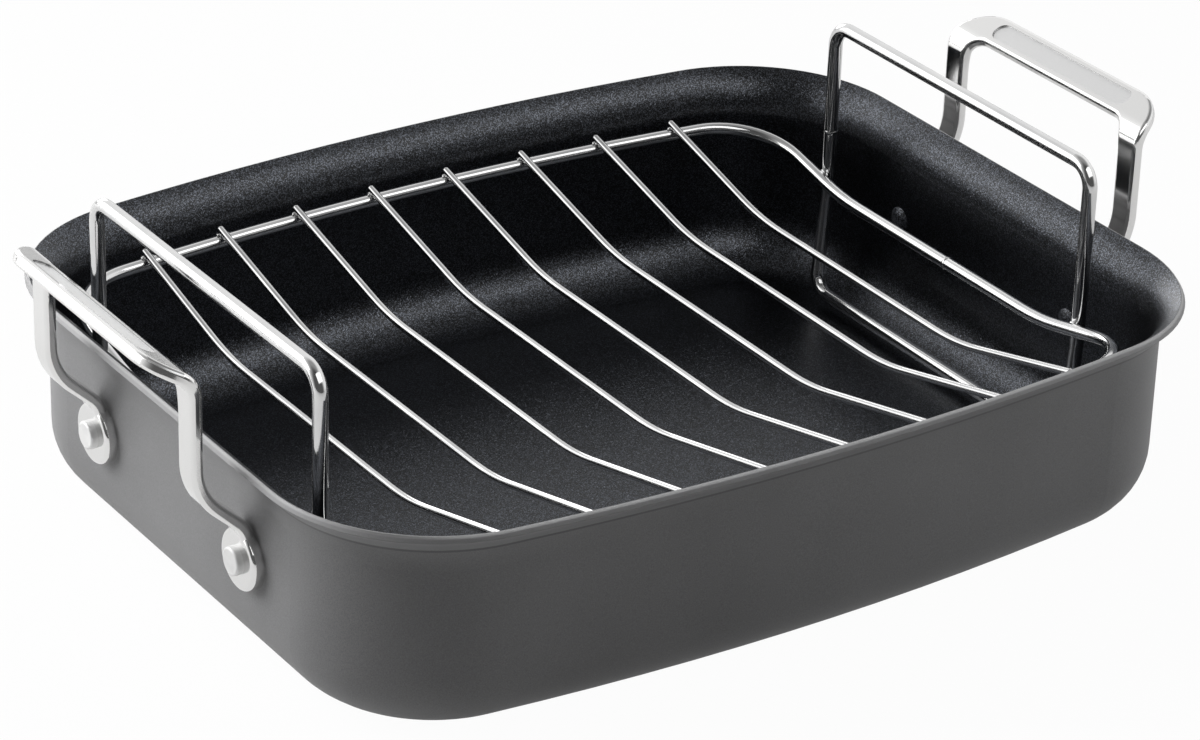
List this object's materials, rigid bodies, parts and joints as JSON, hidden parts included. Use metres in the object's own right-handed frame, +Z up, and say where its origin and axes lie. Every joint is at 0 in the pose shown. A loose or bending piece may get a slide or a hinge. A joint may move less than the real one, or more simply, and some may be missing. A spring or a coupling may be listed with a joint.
{
  "type": "roasting pan with rack",
  "caption": "Deep rectangular roasting pan with rounded corners, flared lip and riveted upright handles, holding a lift-out dipped wire rack with a hoop at each end.",
  "frame": {"origin": "middle of the pan's flat underside, in plan and in height", "axes": "+X along the pan from the left handle to the right one, +Y from the front wall to the back, +Z up"},
  "size_m": [0.4686, 0.3298, 0.1375],
  "materials": {
    "pan": "hard-anodised dark grey outside, black nonstick coating inside",
    "handle": "polished stainless steel with a satin recess in the grip",
    "rivet": "satin aluminium",
    "rack_wire": "bright polished steel wire with small welds"
  },
  "bodies": {
    "pan": {"pan_body": "pan", "handle_left": "handle", "handle_right": "handle", "rivet_left_front": "rivet", "rivet_left_back": "rivet", "rivet_right_front": "rivet", "rivet_right_back": "rivet"},
    "rack": {"rack_frame": "rack_wire", "rack_cross_wire_1": "rack_wire", "rack_cross_wire_2": "rack_wire", "rack_cross_wire_3": "rack_wire", "rack_cross_wire_4": "rack_wire", "rack_cross_wire_5": "rack_wire", "rack_cross_wire_6": "rack_wire", "rack_cross_wire_7": "rack_wire", "rack_cross_wire_8": "rack_wire", "rack_hoop_left": "rack_wire", "rack_hoop_right": "rack_wire"}
  },
  "joints": [
    {"name": "rack_lift", "type": "slide", "parent": "pan", "child": "rack", "axis": [0, 0, 1], "range_m": [0, 0.16]}
  ]
}
